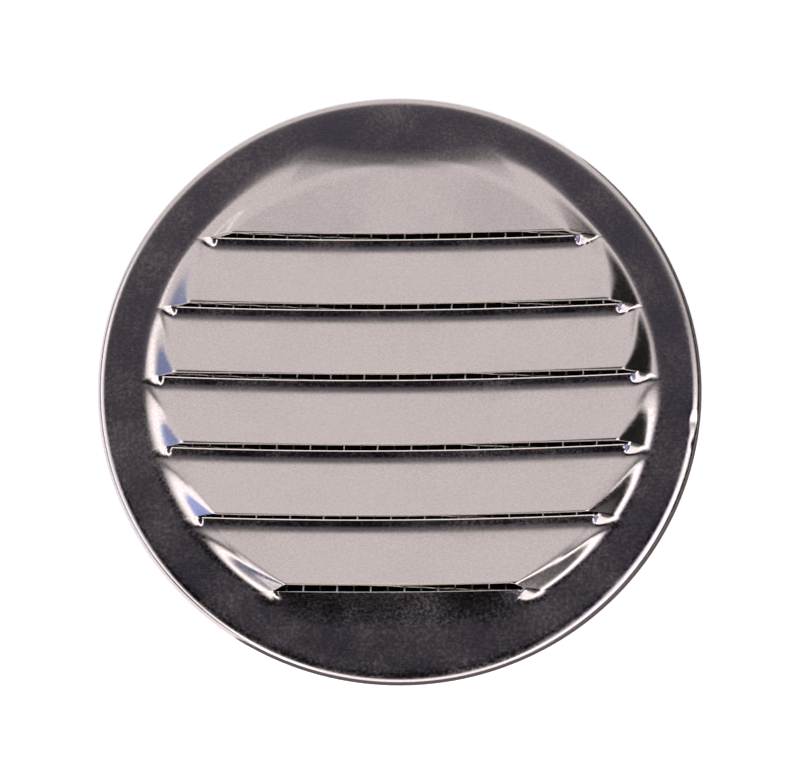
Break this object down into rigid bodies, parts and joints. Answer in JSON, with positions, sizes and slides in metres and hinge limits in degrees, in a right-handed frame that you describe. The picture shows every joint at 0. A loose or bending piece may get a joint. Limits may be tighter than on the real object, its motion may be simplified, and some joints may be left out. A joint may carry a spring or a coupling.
{
  "type": "mini louver vent",
  "caption": "Round push-in louver vent of sheet aluminium: a stamped louver face with a rolled rim, a woven insect screen behind it and a slit collar that grips a drilled hole.",
  "frame": {"origin": "centre of the plane where the rim seats on the wall round the hole", "axes": "+Z out of the wall through the louver face, +Y up when the vent is in a wall, so the slots open towards -Y"},
  "size_m": [0.1142, 0.1142, 0.0201],
  "materials": {
    "face_sheet": "mill finish, stamped",
    "screen_wire": "drawn wire, woven",
    "collar_sheet": "mill finish, drawn"
  },
  "bodies": {
    "root": {"louver_face": "face_sheet", "insect_screen": "screen_wire", "collar": "collar_sheet"}
  },
  "joints": []
}
